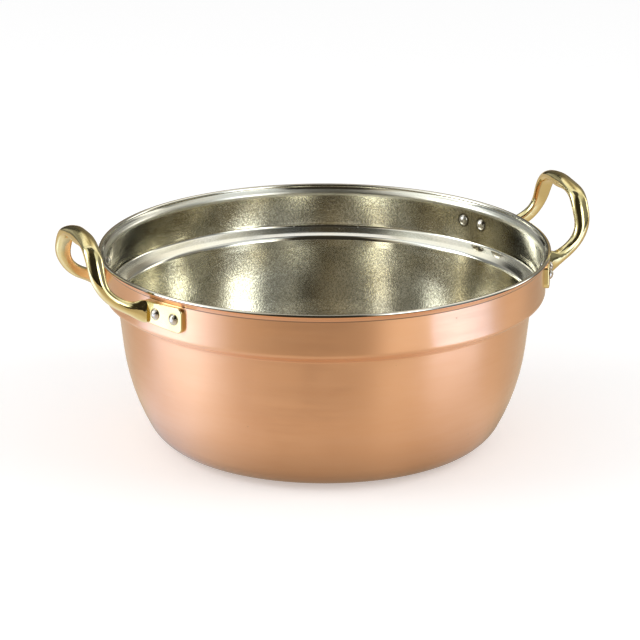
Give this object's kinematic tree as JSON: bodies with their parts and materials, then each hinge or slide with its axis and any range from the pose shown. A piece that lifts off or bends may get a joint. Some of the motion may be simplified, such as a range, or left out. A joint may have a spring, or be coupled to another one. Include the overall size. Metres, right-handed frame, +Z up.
{
  "type": "jam pan",
  "caption": "Stepped copper jam pan with a flared rim, rounded bowl, tin-lined inside and riveted brass loop handles.",
  "frame": {"origin": "centre of the flat base, on the surface the pan stands on", "axes": "+Z up along the pan's own axis, +X from the pan's axis out through the middle of the right handle"},
  "size_m": [0.3684, 0.3104, 0.1699],
  "materials": {
    "copper": "polished",
    "tin": "satin",
    "brass": "polished",
    "rivet_metal": "polished"
  },
  "bodies": {
    "root": {"pan_body": "copper", "tin_lining": "tin", "left_handle": "brass", "right_handle": "brass", "left_handle_rivet_1": "rivet_metal", "left_handle_rivet_2": "rivet_metal", "left_handle_rivet_3": "rivet_metal", "left_handle_rivet_4": "rivet_metal", "right_handle_rivet_1": "rivet_metal", "right_handle_rivet_2": "rivet_metal", "right_handle_rivet_3": "rivet_metal", "right_handle_rivet_4": "rivet_metal"}
  },
  "joints": []
}
